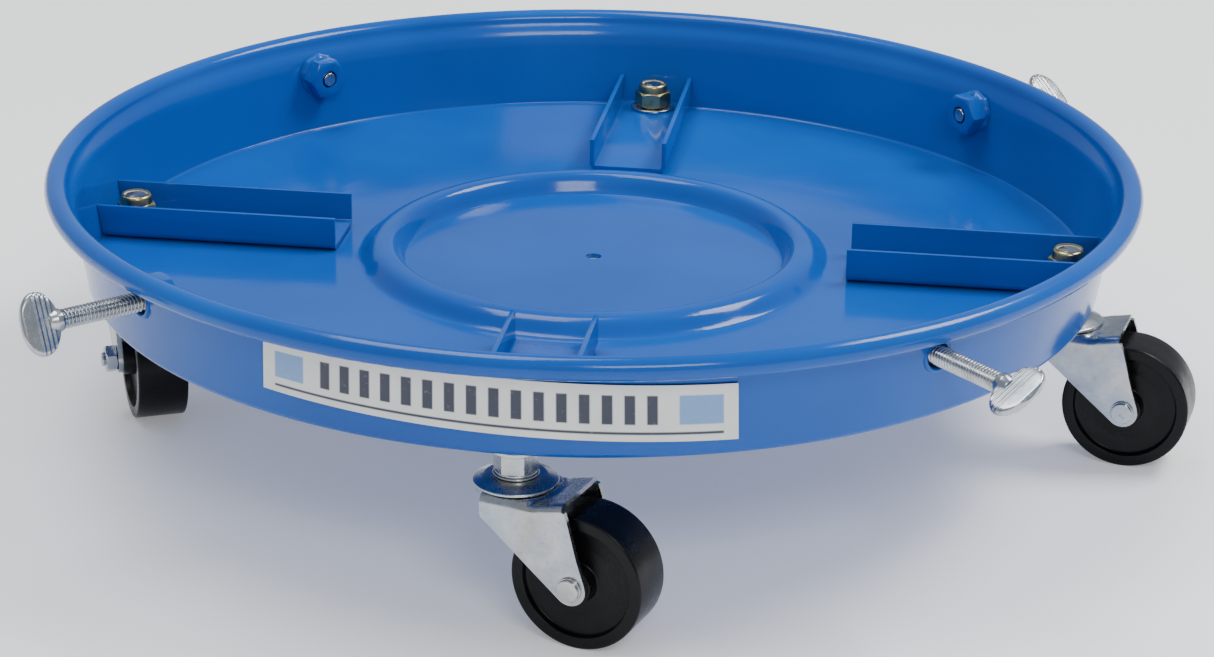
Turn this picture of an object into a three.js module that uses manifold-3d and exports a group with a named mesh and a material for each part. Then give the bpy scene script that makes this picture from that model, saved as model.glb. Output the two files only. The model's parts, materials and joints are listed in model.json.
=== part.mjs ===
// Drum dolly: a round pressed-steel tray on four swivel casters, with four thumb screws that clamp a drum.
// Millimetres, +Z up. The floor is z = 0, and the origin is under the middle of the whole footprint.
import * as THREE from 'three';
import { mergeVertices } from 'three/addons/utils/BufferGeometryUtils.js';
import Module from 'manifold-3d';

const wasm = await Module();
wasm.setup();

const { cos, sin, PI, sqrt } = Math;
const deg = PI / 180;

// Tray: one sheet drawn into a pan, its edge rolled outwards
const SHEET = 2.0;
const RIM_OUTER_R = 220;
const ROLL_R = 4.6;
const ROLL_Z = 109.5;
const ROLL_END = -125 * deg;
const WALL_FOOT_R = 202.8;
const WALL_TOP_R = 207.6;
const WALL_TOP_Z = 103;
const FLOOR_Z = 72.2;
const CORNER_R = 1.2;
const DISC_Z = 71;
const DISC_R = 77.4;
const BEAD_OUTER_R = 95.5;
// The bead between the middle disc and the floor, as [out from the disc, up from the disc], steeper inside
const BEAD_STEPS = [[3.2, 6.6], [7.2, 8], [11.2, 7.4]];
const DRAIN_R = 3.25;
const TRAY_SEGMENTS = 56;
// Facets round small turned pieces, and round the wheels and caps
const SMALL_SEGMENTS = 16;
const LARGE_SEGMENTS = 24;
const AXLE_SEGMENTS = 20;
// Steps in each curve of a screw head's outline
const HEAD_CURVE_STEPS = 4;
// How far a cutting solid runs past the faces that it cuts
const CUT_PAST = 1;
// Moves the tray's axis, so that the footprint's middle is the origin: one caster trails outwards.
const TRAY_AXIS_X = -12;

// Channels that carry the drum
const CHANNEL_WIDTH = 33.5;
const CHANNEL_TOP_Z = 86.2;
const CHANNEL_SHEET = 1.8;
const CHANNEL_BEND_R = 3;
const CHANNEL_INNER_R = 104.3;
// Clearance under a channel, and between its trimmed end and the wall
const CHANNEL_GAP = 0.3;
const CHANNEL_WALL_GAP = 0.4;

// Thumb screws and the nuts welded inside the wall
const SCREW_Z = 96.7;
const SCREW_R = 3.75;
const SCREW_RUNNING_GAP = 0.12;
const WALL_HOLE_R = 4.9;
const WELD_NUT_FLATS = 16;
const WELD_NUT_FACE_R = 204.5;
const WELD_NUT_THICKNESS = 8;
const WELD_NUT_BORE_REACH = 20;
const TIP_FACE_R = 196.2;
const TIP_LENGTH = 1.2;
const TIP_R = 3;
const TIP_GAP = 0.05;
const SCREW_LEAD_IN = 0.8;
const NECK_AT_R = 242;
const NECK_R = 4.6;
const NECK_LENGTH = 3;
const HEAD_END_R = 257;
const HEAD_HALF_LENGTH = 12;
const HEAD_THICKNESS = 4;
// Bulge of the head's outline past its half length, and how far its corners are rounded off
const HEAD_BULGE = 1.6;
const HEAD_ROUND = 3;
// Turn of each flat head about its screw, in degrees
const HEAD_TURN = { front_left: 22, front_right: 118, back_right: 124, back_left: 95 };

// Casters
const STEM_AT_R = 192;
const TRAIL = 28.5;
// Direction in which each caster trails, in degrees from +X
const HEADING = { front: -17, right: -11, back: 160, left: -65 };
const WHEEL_R = 25.5;
const WHEEL_WIDTH = 20.5;
const WHEEL_EDGE = 0.9;
const TYRE_INNER_R = 21;
const WEB_RECESS = 2.4;
const HUB_WIDTH = 26.2;
const HUB_R = 7;
const HUB_FLARE = 1;
const TYRE_LIP_SLOPE = 0.5;
const AXLE_R = 3;
const AXLE_GAP = 0.1;
const AXLE_HEAD_R = 4.3;
const AXLE_HEAD_HEIGHT = 2;
const AXLE_SHOULDER_R = 4.7;
const AXLE_SHOULDER_HEIGHT = 0.7;
const AXLE_END_PAST_LEG = 6;
const AXLE_END_CHAMFER = 0.8;
const AXLE_NUT_FLATS = 10;
const AXLE_NUT_HEIGHT = 4.6;
const FORK_SHEET = 2;
const FORK_WIDTH = 30.6;
const CROWN_TOP_Z = 55;
const CROWN_R = 14.4;
const CROWN_REAR = 25;
// The crown rises towards its rear edge, from this far behind the swivel
const CROWN_RISE_FROM = 13;
const CROWN_RISE = 2.4;
const LEG_FRONT = -7;
const LEG_SHOULDER_Z = 47;
const LEG_END_R = 6.2;
const LEG_END_FROM = 222 * deg;
const LEG_END_TO = 364 * deg;
const LEG_TOP_DROP = 1;

// Swivel: a kingpin riveted under the crown, loose balls and a domed cap
const KINGPIN_R = 4.2;
const KINGPIN_GAP = 0.1;
const RIVET_LOW_Z = 50.6;
const RIVET_TOP_Z = 52.6;
const RIVET_R = 6.3;
const RIVET_CHAMFER = 1;
const CAP_R = 15.5;
const CAP_LOW_Z = 55.9;
const CAP_TOP_Z = 58.8;
const CAP_SHEET = 1.2;
const CAP_LIP = 1.4;
const CAP_EDGE = 0.7;
// Where the dome's shoulder and crown lie, in from the cap's edge
const CAP_SHOULDER_IN = 3;
const CAP_CROWN_IN = 5.5;
const BALL_RING_INNER_R = 7.4;
const BALL_RING_OUTER_R = 9.4;
const BALL_RING_GAP = 0.3;
const BALL_RING_TOP_Z = 57.2;

// Stem and its fasteners
const STEM_R = 4.7;
const STEM_HOLE_R = 5;
const STEM_TOP_Z = 86;
const STEM_CHAMFER = 0.8;
const FLANGE_R = 8.4;
const FLANGE_LOW_Z = 58.9;
const HEX_LOW_Z = 60.4;
const HEX_FLATS = 14.2;
const HEX_OVERLAP = 0.2;
const WASHER_BORE_R = 4.9;
const WASHER_R = 10;
const UNDER_WASHER_THICKNESS = 1.6;
const TOP_WASHER_THICKNESS = 1.2;
const FASTENER_GAP = 0.1;
const LOCK_NUT_FLATS = 14.2;
const LOCK_NUT_HEX_HEIGHT = 7;
const LOCK_NUT_HEIGHT = 10.9;
const LOCK_NUT_BORE_R = 4.8;
const COLLAR_FOOT_R = 6.8;
const COLLAR_TOP_R = 6.1;

// Label on the wall
const LABEL_FROM = -26.8 * deg;
const LABEL_TO = 22.6 * deg;
// The label is stuck on a little askew: its lower edge at x = 0, its height, and its fall per mm along X
const LABEL_LOW_Z = 79.4;
const LABEL_HEIGHT = 22.8;
const LABEL_FALL = 0.0308;
const LABEL_THICKNESS = 0.4;
const LABEL_GAP = 0.3;

const metal = (color, roughness) => new THREE.MeshStandardMaterial({ color, roughness, metalness: 0.9 });
const bluePaint = new THREE.MeshStandardMaterial({ color: 0x1960af, roughness: 0.28, metalness: 0.1 });
const zinc = metal(0xb9bfc2, 0.35);
const yellowZinc = metal(0xb7a463, 0.4);
const blackPlastic = new THREE.MeshStandardMaterial({ color: 0x141516, roughness: 0.45, metalness: 0 });
const labelFilm = new THREE.MeshStandardMaterial({ color: 0xd8d8d2, roughness: 0.5, metalness: 0 });

// Closed solid of a geometry, with shared vertices merged and empty triangles dropped
function toSolid(geometry) {
  const bare = geometry.clone();
  bare.deleteAttribute('normal');
  bare.deleteAttribute('uv');
  const merged = mergeVertices(bare, 1e-4);
  const index = merged.index.array;
  const kept = [];
  for (let i = 0; i < index.length; i += 3) {
    const [a, b, c] = [index[i], index[i + 1], index[i + 2]];
    if (a !== b && b !== c && c !== a) kept.push(a, b, c);
  }
  const vertProperties = new Float32Array(merged.attributes.position.array);
  return new wasm.Manifold(new wasm.Mesh({ numProp: 3, vertProperties, triVerts: new Uint32Array(kept) }));
}

function toGeometry(solid) {
  const { vertProperties, triVerts } = solid.getMesh();
  const geometry = new THREE.BufferGeometry();
  geometry.setAttribute('position', new THREE.BufferAttribute(vertProperties, 3));
  geometry.setIndex(new THREE.BufferAttribute(triVerts, 1));
  geometry.computeVertexNormals();
  return geometry;
}

// Points of an arc in a plane, from one angle to another
function arc(cx, cy, r, from, to, steps) {
  return Array.from({ length: steps + 1 }, (_, i) => {
    const a = from + ((to - from) * i) / steps;
    return [cx + r * cos(a), cy + r * sin(a)];
  });
}

// Solid of revolution about Z, from [radius, z] points in counterclockwise order
function revolve(points, segments) {
  const profile = points.map(([r, z]) => new THREE.Vector2(r, z));
  return toSolid(new THREE.LatheGeometry(profile, segments).rotateX(PI / 2));
}

function ring(inner, outer, low, high, segments) {
  return revolve([[inner, low], [outer, low], [outer, high], [inner, high], [inner, low]], segments);
}

function rod(radius, low, high, segments) {
  return revolve([[0, low], [radius, low], [radius, high], [0, high]], segments);
}

// Outline given by [x, y] points, extruded from z = low to z = high
function prism(points, low, high) {
  const shape = new THREE.Shape(points.map(([x, y]) => new THREE.Vector2(x, y)));
  const geometry = new THREE.ExtrudeGeometry(shape, { depth: high - low, bevelEnabled: false });
  return toSolid(geometry.translate(0, 0, low));
}

function hexagon(acrossFlats) {
  return arc(0, 0, acrossFlats / sqrt(3), 0, 2 * PI, 6).slice(0, 6);
}

function mesh(name, solid, material) {
  const piece = new THREE.Mesh(toGeometry(solid), material);
  piece.name = name;
  return piece;
}

// Radius of the wall's inner face at a height
function wallInnerR(z) {
  const rise = (z - FLOOR_Z - CORNER_R) / (WALL_TOP_Z - FLOOR_Z - CORNER_R);
  return WALL_FOOT_R + (WALL_TOP_R - WALL_FOOT_R) * rise;
}

const SIDES = { right: 0, back: 90 * deg, left: 180 * deg, front: 270 * deg };
// The screws are set out by hand, so they lie a degree or so off the diagonals
const CORNERS = {
  back_right: 43.5 * deg,
  back_left: 135.6 * deg,
  front_left: 224.4 * deg,
  front_right: 314.4 * deg,
};

function trayProfile() {
  const rollAt = RIM_OUTER_R - ROLL_R;
  const cornerAt = WALL_FOOT_R - CORNER_R;
  const crest = BEAD_STEPS.map(([out, up]) => [DISC_R + out, DISC_Z + up]);
  const bead = [[DISC_R, DISC_Z], ...crest, [BEAD_OUTER_R, FLOOR_Z]];
  const upper = [
    [DRAIN_R, DISC_Z],
    ...bead,
    ...arc(cornerAt, FLOOR_Z + CORNER_R, CORNER_R, -90 * deg, 0, 2),
    [WALL_TOP_R, WALL_TOP_Z],
    ...arc(rollAt, ROLL_Z, ROLL_R, 180 * deg, ROLL_END, 8),
  ];
  const lower = [
    ...arc(rollAt, ROLL_Z, ROLL_R - SHEET, ROLL_END, 180 * deg, 5),
    [WALL_TOP_R + SHEET, WALL_TOP_Z],
    ...arc(cornerAt, FLOOR_Z + CORNER_R, CORNER_R + SHEET, 0, -90 * deg, 2),
    ...bead.reverse().map(([r, z]) => [r, z - SHEET]),
    [DRAIN_R, DISC_Z - SHEET],
  ];
  return [...upper, ...lower, upper[0]].reverse();
}

// A rod lying along a horizontal radius of the tray, at the screws' height
function radialRod(angle, radius, from, to, segments) {
  const lying = toSolid(new THREE.CylinderGeometry(radius, radius, to - from, segments).rotateZ(-PI / 2));
  return lying.translate([(from + to) / 2, 0, SCREW_Z]).rotate([0, 0, angle / deg]);
}

function tray() {
  let pan = revolve(trayProfile(), TRAY_SEGMENTS);
  for (const angle of Object.values(SIDES)) {
    const hole = rod(STEM_HOLE_R, FLOOR_Z - STEM_AT_R, FLOOR_Z + STEM_AT_R, SMALL_SEGMENTS);
    pan = pan.subtract(hole.translate([STEM_AT_R * cos(angle), STEM_AT_R * sin(angle), 0]));
  }
  for (const angle of Object.values(CORNERS)) {
    pan = pan.subtract(radialRod(angle, WALL_HOLE_R, WALL_FOOT_R - ROLL_R, RIM_OUTER_R, SMALL_SEGMENTS));
  }
  return mesh('tray_pan', pan, bluePaint);
}

// Open U section lying along a radius, its outer end trimmed to the wall
function channel(side) {
  const half = CHANNEL_WIDTH / 2;
  const low = FLOOR_Z + CHANNEL_GAP;
  const bend = CHANNEL_BEND_R;
  const innerBend = bend - CHANNEL_SHEET;
  const inHalf = half - CHANNEL_SHEET;
  const section = [
    [-half, CHANNEL_TOP_Z],
    ...arc(-half + bend, low + bend, bend, 180 * deg, 270 * deg, 3),
    ...arc(half - bend, low + bend, bend, -90 * deg, 0, 3),
    [half, CHANNEL_TOP_Z],
    [inHalf, CHANNEL_TOP_Z],
    ...arc(half - bend, low + bend, innerBend, 0, -90 * deg, 3),
    ...arc(-half + bend, low + bend, innerBend, 270 * deg, 180 * deg, 3),
    [-inHalf, CHANNEL_TOP_Z],
  ];
  const bar = prism(section, CHANNEL_INNER_R, RIM_OUTER_R).rotate([90, 0, 0]).rotate([0, 0, 90]);
  const hole = rod(STEM_HOLE_R, FLOOR_Z, FLOOR_Z + CHANNEL_WIDTH, SMALL_SEGMENTS);
  const drilled = bar.subtract(hole.translate([STEM_AT_R, 0, 0]));
  return mesh(`channel_${side}`, drilled.rotate([0, 0, SIDES[side] / deg]).intersect(well()), bluePaint);
}

// The space inside the wall, less the clearance that a channel's end keeps
function well() {
  const cornerR = WALL_FOOT_R - CORNER_R;
  const footR = WALL_FOOT_R - CHANNEL_WALL_GAP;
  const topR = wallInnerR(CHANNEL_TOP_Z) - CHANNEL_WALL_GAP;
  const foot = FLOOR_Z + CORNER_R;
  const top = CHANNEL_TOP_Z + CUT_PAST;
  return revolve([[0, FLOOR_Z], [cornerR, FLOOR_Z], [footR, foot], [topR, top], [0, top]], TRAY_SEGMENTS);
}

function weldNut(corner) {
  const nut = prism(hexagon(WELD_NUT_FLATS), WELD_NUT_FACE_R - WELD_NUT_THICKNESS, WELD_NUT_FACE_R);
  const lying = nut.rotate([0, 90, 0]).translate([0, 0, SCREW_Z]).rotate([0, 0, CORNERS[corner] / deg]);
  const boreR = SCREW_R + SCREW_RUNNING_GAP;
  const boreFrom = WELD_NUT_FACE_R - WELD_NUT_BORE_REACH;
  const boreTo = WELD_NUT_FACE_R + WELD_NUT_BORE_REACH;
  const bore = radialRod(CORNERS[corner], boreR, boreFrom, boreTo, SMALL_SEGMENTS);
  return mesh(`weld_nut_${corner}`, lying.subtract(bore), bluePaint);
}

function screwTip(corner) {
  const tip = radialRod(CORNERS[corner], TIP_R, TIP_FACE_R, TIP_FACE_R + TIP_LENGTH, SMALL_SEGMENTS);
  return mesh(`screw_tip_${corner}`, tip, zinc);
}

// Spade outline of the head, from one side of its neck round to the other: points are [across, along]
function headOutline() {
  const foot = NECK_AT_R + HEAD_BULGE / 2;
  const shoulder = NECK_AT_R + NECK_LENGTH;
  const widest = HEAD_HALF_LENGTH + HEAD_BULGE;
  const start = HEAD_HALF_LENGTH - HEAD_ROUND / 2;
  const corner = HEAD_HALF_LENGTH - HEAD_ROUND;
  const head = new THREE.Shape();
  head.moveTo(NECK_R, foot);
  head.quadraticCurveTo(NECK_R + HEAD_BULGE, shoulder, start, shoulder + HEAD_ROUND / 2);
  head.quadraticCurveTo(widest, shoulder + HEAD_ROUND, corner, HEAD_END_R - HEAD_ROUND);
  head.quadraticCurveTo(HEAD_HALF_LENGTH / 2, HEAD_END_R, 0, HEAD_END_R);
  head.quadraticCurveTo(-HEAD_HALF_LENGTH / 2, HEAD_END_R, -corner, HEAD_END_R - HEAD_ROUND);
  head.quadraticCurveTo(-widest, shoulder + HEAD_ROUND, -start, shoulder + HEAD_ROUND / 2);
  head.quadraticCurveTo(-NECK_R - HEAD_BULGE, shoulder, -NECK_R, foot);
  return head;
}

// The screw is made standing along Z, from its threaded end up to its flat oval head, then laid down
function thumbScrew(corner) {
  const start = TIP_FACE_R + TIP_LENGTH + TIP_GAP;
  const shoulder = NECK_AT_R + NECK_LENGTH;
  const shank = revolve([
    [0, start],
    [SCREW_R - SCREW_LEAD_IN, start],
    [SCREW_R, start + SCREW_LEAD_IN],
    [SCREW_R, NECK_AT_R - SCREW_LEAD_IN],
    [NECK_R, NECK_AT_R],
    [NECK_R, shoulder],
    [0, shoulder],
  ], SMALL_SEGMENTS);
  const options = { depth: HEAD_THICKNESS, bevelEnabled: false, curveSegments: HEAD_CURVE_STEPS };
  const plate = new THREE.ExtrudeGeometry(headOutline(), options);
  plate.translate(0, 0, -HEAD_THICKNESS / 2).rotateX(PI / 2);
  const turned = shank.add(toSolid(plate)).rotate([0, 0, HEAD_TURN[corner]]);
  const lying = turned.rotate([0, 90, 0]).translate([0, 0, SCREW_Z]).rotate([0, 0, CORNERS[corner] / deg]);
  return mesh(`thumb_screw_${corner}`, lying, zinc);
}

// A side-view outline of [x, z] points, given a depth from y = near to y = far
function sideways(outline, near, far) {
  return prism(outline, -far, -near).rotate([90, 0, 0]);
}

// A band that follows the wall, cut to a wedge of the circle and to two slanting edges
function label() {
  const lowest = LABEL_LOW_Z - LABEL_FALL * RIM_OUTER_R;
  const low = wallInnerR(lowest) + SHEET + LABEL_GAP;
  const high = wallInnerR(WALL_TOP_Z) + SHEET + LABEL_GAP;
  const section = [
    [low, lowest],
    [low + LABEL_THICKNESS, lowest],
    [high + LABEL_THICKNESS, WALL_TOP_Z],
    [high, WALL_TOP_Z],
    [low, lowest],
  ];
  const reach = RIM_OUTER_R * 2;
  const drop = LABEL_FALL * RIM_OUTER_R;
  const wedge = [LABEL_FROM, LABEL_TO].map((a) => [reach * sin(a), -reach * cos(a)]);
  const slab = [
    [-RIM_OUTER_R, LABEL_LOW_Z + drop],
    [RIM_OUTER_R, LABEL_LOW_Z - drop],
    [RIM_OUTER_R, LABEL_LOW_Z + LABEL_HEIGHT - drop],
    [-RIM_OUTER_R, LABEL_LOW_Z + LABEL_HEIGHT + drop],
  ];
  const sector = prism([[0, 0], ...wedge], 0, ROLL_Z);
  const band = revolve(section, TRAY_SEGMENTS).intersect(sector).intersect(sideways(slab, -RIM_OUTER_R, 0));
  return mesh('label_plate', band, labelFilm);
}

// Fixed stem: thread through the floor and channel, hexagon under the floor, riveted kingpin in the fork
function stem(side) {
  const hexHigh = FLOOR_Z - SHEET - UNDER_WASHER_THICKNESS - 2 * FASTENER_GAP;
  const turned = revolve([
    [0, RIVET_LOW_Z],
    [RIVET_R - RIVET_CHAMFER, RIVET_LOW_Z],
    [RIVET_R, RIVET_LOW_Z + RIVET_CHAMFER],
    [RIVET_R, RIVET_TOP_Z],
    [KINGPIN_R, RIVET_TOP_Z],
    [KINGPIN_R, FLANGE_LOW_Z],
    [FLANGE_R, FLANGE_LOW_Z],
    [FLANGE_R, HEX_LOW_Z],
    [STEM_R, HEX_LOW_Z],
    [STEM_R, STEM_TOP_Z - STEM_CHAMFER],
    [STEM_R - STEM_CHAMFER, STEM_TOP_Z],
    [0, STEM_TOP_Z],
  ], SMALL_SEGMENTS);
  const hex = prism(hexagon(HEX_FLATS), HEX_LOW_Z - HEX_OVERLAP, hexHigh);
  return mesh(`stem_${side}`, turned.add(hex), zinc);
}

function underWasher(side) {
  const top = FLOOR_Z - SHEET - FASTENER_GAP;
  const washer = ring(WASHER_BORE_R, WASHER_R, top - UNDER_WASHER_THICKNESS, top, SMALL_SEGMENTS);
  return mesh(`under_washer_${side}`, washer, zinc);
}

// Height of the top washer's lower face, on the channel
function topWasherLow() {
  return FLOOR_Z + CHANNEL_GAP + CHANNEL_SHEET + FASTENER_GAP;
}

function topWasher(side) {
  const low = topWasherLow();
  const washer = ring(WASHER_BORE_R, WASHER_R, low, low + TOP_WASHER_THICKNESS, SMALL_SEGMENTS);
  return mesh(`top_washer_${side}`, washer, zinc);
}

// Hexagon with the round collar that holds its locking insert
function lockNut(side) {
  const low = topWasherLow() + TOP_WASHER_THICKNESS + FASTENER_GAP;
  const hexTop = low + LOCK_NUT_HEX_HEIGHT;
  const top = low + LOCK_NUT_HEIGHT;
  const collar = revolve([
    [LOCK_NUT_BORE_R, low],
    [COLLAR_FOOT_R, low],
    [COLLAR_FOOT_R, hexTop],
    [COLLAR_TOP_R, top],
    [LOCK_NUT_BORE_R, top],
    [LOCK_NUT_BORE_R, low],
  ], SMALL_SEGMENTS);
  const bore = rod(LOCK_NUT_BORE_R, low - CUT_PAST, top + CUT_PAST, SMALL_SEGMENTS);
  const hex = prism(hexagon(LOCK_NUT_FLATS), low, hexTop).subtract(bore);
  return mesh(`lock_nut_${side}`, hex.add(collar), yellowZinc);
}

// Domed cover over the swivel's balls, open below
function raceCap(side) {
  const bore = KINGPIN_R + KINGPIN_GAP;
  const dome = CAP_TOP_Z - CAP_SHEET;
  const foot = [CAP_R - CAP_LIP, CAP_LOW_Z];
  const profile = [
    foot,
    [CAP_R, CAP_LOW_Z],
    [CAP_R, CAP_LOW_Z + CAP_EDGE],
    [CAP_R - CAP_SHOULDER_IN, CAP_TOP_Z - CAP_EDGE],
    [CAP_R - CAP_CROWN_IN, CAP_TOP_Z],
    [bore, CAP_TOP_Z],
    [bore, dome],
    [CAP_R - CAP_CROWN_IN, dome],
    foot,
  ];
  return mesh(`race_cap_${side}`, revolve(profile, LARGE_SEGMENTS), zinc);
}

function ballRing(side) {
  const low = CROWN_TOP_Z + BALL_RING_GAP;
  const balls = ring(BALL_RING_INNER_R, BALL_RING_OUTER_R, low, BALL_RING_TOP_Z, SMALL_SEGMENTS);
  return mesh(`ball_ring_${side}`, balls, zinc);
}

// Bent fork: a crown under the swivel, rising to the rear, and two tapered legs that end round the axle
function fork(side) {
  const half = FORK_WIDTH / 2;
  const under = CROWN_TOP_Z - FORK_SHEET;
  const crown = [
    [LEG_FRONT, under],
    [CROWN_RISE_FROM, under],
    [CROWN_REAR, under + CROWN_RISE],
    [CROWN_REAR, CROWN_TOP_Z + CROWN_RISE],
    [CROWN_RISE_FROM, CROWN_TOP_Z],
    [LEG_FRONT, CROWN_TOP_Z],
  ];
  const leg = [
    [LEG_FRONT, CROWN_TOP_Z - LEG_TOP_DROP],
    [LEG_FRONT, LEG_SHOULDER_Z],
    ...arc(TRAIL, WHEEL_R, LEG_END_R, LEG_END_FROM, LEG_END_TO, 7),
    [CROWN_REAR, CROWN_TOP_Z + CROWN_RISE - LEG_TOP_DROP],
    [CROWN_RISE_FROM, CROWN_TOP_Z - LEG_TOP_DROP],
  ];
  let body = sideways(crown, -half, half).add(rod(CROWN_R, under, CROWN_TOP_Z, LARGE_SEGMENTS));
  for (const inner of [-half, half - FORK_SHEET]) {
    body = body.add(sideways(leg, inner, inner + FORK_SHEET));
  }
  const axleHole = rod(AXLE_R + AXLE_GAP, -FORK_WIDTH, FORK_WIDTH, AXLE_SEGMENTS).rotate([90, 0, 0]);
  body = body.subtract(axleHole.translate([TRAIL, 0, WHEEL_R]));
  const pinR = KINGPIN_R + KINGPIN_GAP;
  const pinHole = rod(pinR, under - CUT_PAST, CROWN_TOP_Z + CUT_PAST, SMALL_SEGMENTS);
  return mesh(`fork_${side}`, body.subtract(pinHole), zinc);
}

// Wheel with a full-width hub, and a web set back inside the tyre's raised rim
function wheel(side) {
  const half = WHEEL_WIDTH / 2;
  const hub = HUB_WIDTH / 2;
  const web = half - WEB_RECESS;
  const upper = [
    [AXLE_R + AXLE_GAP, hub],
    [HUB_R, hub],
    [HUB_R + HUB_FLARE, web],
    [TYRE_INNER_R - TYRE_LIP_SLOPE, web],
    [TYRE_INNER_R, half],
    [WHEEL_R - WHEEL_EDGE, half],
    [WHEEL_R, half - WHEEL_EDGE],
  ];
  const lower = upper.map(([r, z]) => [r, -z]).reverse();
  const profile = [...upper, ...lower, upper[0]].reverse();
  const body = revolve(profile, LARGE_SEGMENTS).rotate([90, 0, 0]).translate([TRAIL, 0, WHEEL_R]);
  return mesh(`wheel_${side}`, body, blackPlastic);
}

// Shouldered axle with a round head outside one leg, and a nut outside the other
function axle(side, headSide) {
  const legFace = FORK_WIDTH / 2 + AXLE_GAP;
  const end = legFace + AXLE_END_PAST_LEG;
  const turned = revolve([
    [0, -legFace - AXLE_HEAD_HEIGHT],
    [AXLE_HEAD_R, -legFace - AXLE_HEAD_HEIGHT],
    [AXLE_HEAD_R, -legFace - AXLE_SHOULDER_HEIGHT],
    [AXLE_SHOULDER_R, -legFace - AXLE_SHOULDER_HEIGHT],
    [AXLE_SHOULDER_R, -legFace],
    [AXLE_R, -legFace],
    [AXLE_R, end - AXLE_END_CHAMFER],
    [AXLE_R - AXLE_END_CHAMFER, end],
    [0, end],
  ], SMALL_SEGMENTS);
  const bolt = turned.rotate([-90 * headSide, 0, 0]).translate([TRAIL, 0, WHEEL_R]);
  const blank = prism(hexagon(AXLE_NUT_FLATS), legFace, legFace + AXLE_NUT_HEIGHT);
  const bored = blank.subtract(rod(AXLE_R + AXLE_GAP, 0, end, SMALL_SEGMENTS));
  const nut = bored.rotate([-90 * headSide, 0, 0]).translate([TRAIL, 0, WHEEL_R]);
  return [mesh(`axle_bolt_${side}`, bolt, zinc), mesh(`axle_nut_${side}`, nut, zinc)];
}

function caster(side) {
  const heading = HEADING[side] * deg;
  const headSide = side === 'left' ? -1 : 1;
  const trailing = new THREE.Group();
  trailing.add(ballRing(side), fork(side), wheel(side), ...axle(side, headSide));
  trailing.rotation.z = heading;
  const assembly = new THREE.Group();
  assembly.add(stem(side), underWasher(side), topWasher(side), lockNut(side), raceCap(side), trailing);
  assembly.position.set(STEM_AT_R * cos(SIDES[side]), STEM_AT_R * sin(SIDES[side]), 0);
  return assembly;
}

const dolly = new THREE.Group();
dolly.add(tray(), label());
for (const side of Object.keys(SIDES)) {
  dolly.add(channel(side), caster(side));
}
for (const corner of Object.keys(CORNERS)) {
  dolly.add(weldNut(corner), screwTip(corner), thumbScrew(corner));
}
dolly.position.x = TRAY_AXIS_X;
export default dolly;
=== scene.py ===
"""Looks of the drum dolly: camera, procedural materials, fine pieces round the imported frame, stage, lights.

Piece shapes are written in millimetres in a local frame, then put in place in metres.
"""

import json
import math

import bpy
from mathutils import Matrix, Vector, noise


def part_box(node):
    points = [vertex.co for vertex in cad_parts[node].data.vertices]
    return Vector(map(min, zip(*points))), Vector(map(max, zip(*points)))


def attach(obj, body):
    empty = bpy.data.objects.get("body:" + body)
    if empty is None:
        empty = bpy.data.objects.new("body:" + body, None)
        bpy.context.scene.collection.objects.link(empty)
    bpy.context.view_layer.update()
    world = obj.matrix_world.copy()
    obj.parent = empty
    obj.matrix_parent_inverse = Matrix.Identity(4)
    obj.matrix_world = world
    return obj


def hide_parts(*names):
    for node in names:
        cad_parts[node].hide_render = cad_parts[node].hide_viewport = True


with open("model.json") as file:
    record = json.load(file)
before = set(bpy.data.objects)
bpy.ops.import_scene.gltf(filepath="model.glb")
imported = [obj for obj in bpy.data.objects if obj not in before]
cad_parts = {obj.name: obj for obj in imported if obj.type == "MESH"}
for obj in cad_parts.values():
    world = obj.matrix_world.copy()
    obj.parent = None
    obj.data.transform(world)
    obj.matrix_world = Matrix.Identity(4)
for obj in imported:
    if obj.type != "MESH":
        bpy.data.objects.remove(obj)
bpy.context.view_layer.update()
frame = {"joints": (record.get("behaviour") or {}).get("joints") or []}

MM = 0.001
JOINTS = {joint["name"]: joint for joint in frame["joints"]}
SIDES = ("right", "back", "left", "front")
CORNERS = ("back_right", "back_left", "front_left", "front_right")
TRAY_LOW, TRAY_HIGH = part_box("tray_pan")
TRAY_X = (TRAY_LOW.x + TRAY_HIGH.x) / 2
TRAY_PLACE = Matrix.Translation((TRAY_X, 0, 0))

# Sizes in millimetres, as the frame has them
SHEET = 2.0
RIM_R = 220.0
ROLL_R = 4.5
ROLL_Z = 109.4
FLOOR_Z = 72.2
DISC_DROP = 1.2
CORNER_R = 1.2
WALL_FOOT_R = 202.8
WALL_TOP_R = 207.6
WALL_TOP_Z = 103.0
STEM_HOLE_R = 5.0
CHANNEL_WIDTH = 33.5
CHANNEL_TOP_Z = 86.2
CHANNEL_SHEET = 1.8
CHANNEL_INNER_R = 104.3
CHANNEL_BEND = 3.0
CHANNEL_WALL_GAP = 0.4
SCREW_Z = 96.7
WALL_HOLE_R = 4.9
NUT_FACE_R = 204.5
NUT_FLATS = 16.0
NUT_THICKNESS = 8.0
NUT_BORE_R = 3.87
TIP_FACE_R = 196.2
TRAIL = 28.5
WHEEL_R = 25.5
WHEEL_HALF = 10.25
HUB_HALF = 13.05
STEM_R = 4.65
CASTER_FLATS = 14.2
# A hair inside the frame's own wheel, whose facets cut its circle slightly short
TREAD_R = WHEEL_R - 0.05
# Clear space between touching parts, and the smaller one under fasteners
GAP = 0.3
FASTENER_GAP = 0.1
# Angle in degrees past which an edge is shaded sharp
SHARP = 32

# The viewing angle: turn to the left, tilt down and roll in degrees, place in metres, lens in millimetres
CAMERA_TURN, CAMERA_DOWN, CAMERA_ROLL = 7.706, 21.59, 0.773
CAMERA_PLACE = (0.1587, -1.2175, 0.5256)
SENSOR_WIDTH, LENS = 36, 94.94


# ---------------------------------------------------------------- camera

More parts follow.
